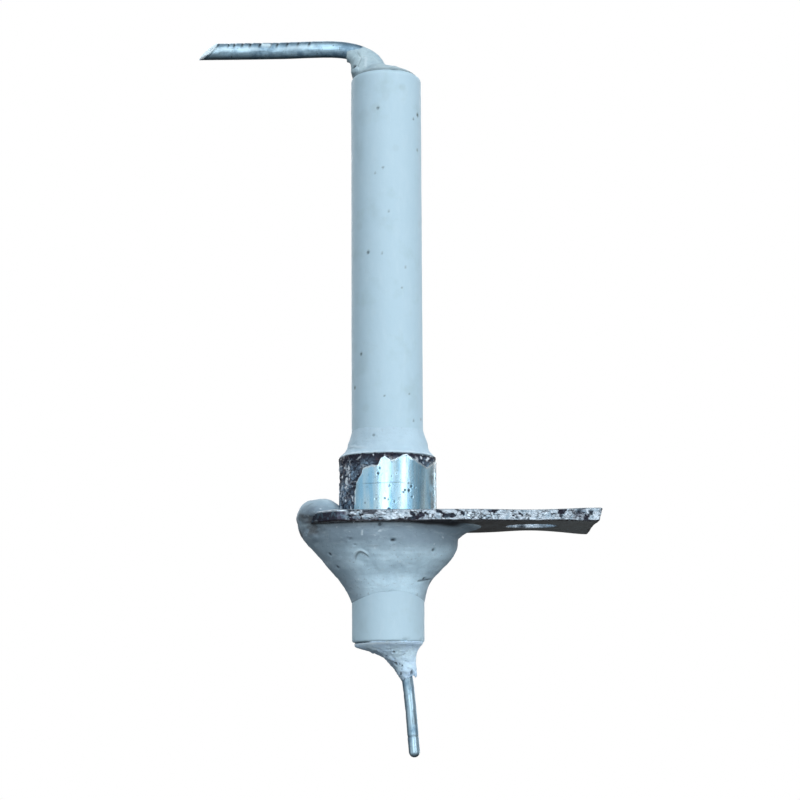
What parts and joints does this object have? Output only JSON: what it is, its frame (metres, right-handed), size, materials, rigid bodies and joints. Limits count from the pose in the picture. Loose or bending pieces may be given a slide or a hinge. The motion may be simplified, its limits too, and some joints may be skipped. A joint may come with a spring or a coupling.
{
  "type": "ignition electrode",
  "caption": "Gas burner ignition electrode: bent steel spark rod in a ceramic tube, cemented into a collar staked to a flat screw bracket, with a bare terminal pin below.",
  "frame": {"origin": "on the ceramic tube's axis, at the bracket plate's seating face, which is the centre of the burner wall's opening", "axes": "+Z along the ceramic tube towards the spark tip, +X along the bracket arm towards its screw hole, so the spark rod's level leg points to -X"},
  "size_m": [0.0392, 0.013, 0.0712],
  "materials": {
    "ceramic": "smooth matt alumina, cool white, with small specks and handling smudges",
    "cement": "dull hand-applied refractory cement, pitted and smeared, grey-white",
    "rod_steel": "drawn heat-resistant steel wire with plier marks, semi-bright",
    "sleeve_brass": "plain crimped sleeve, hidden inside the bore",
    "pin_steel": "bright drawn wire, scuffed, with a dull ring near its end",
    "bracket_steel": "plated sheet steel, plating broken into bright flakes on the sheared edge, dark stained underside",
    "collar_zinc": "bright zinc plate with pits and a scratch, torn away at the rim over dark rough steel"
  },
  "bodies": {
    "root": {"ceramic_tube": "ceramic", "tip_cement": "cement", "tail_cement": "cement", "collar_cement": "cement", "lower_cement": "cement", "spark_rod": "rod_steel", "joint_sleeve": "sleeve_brass", "terminal_pin": "pin_steel", "bracket_plate": "bracket_steel", "mounting_collar": "collar_zinc"}
  },
  "joints": []
}
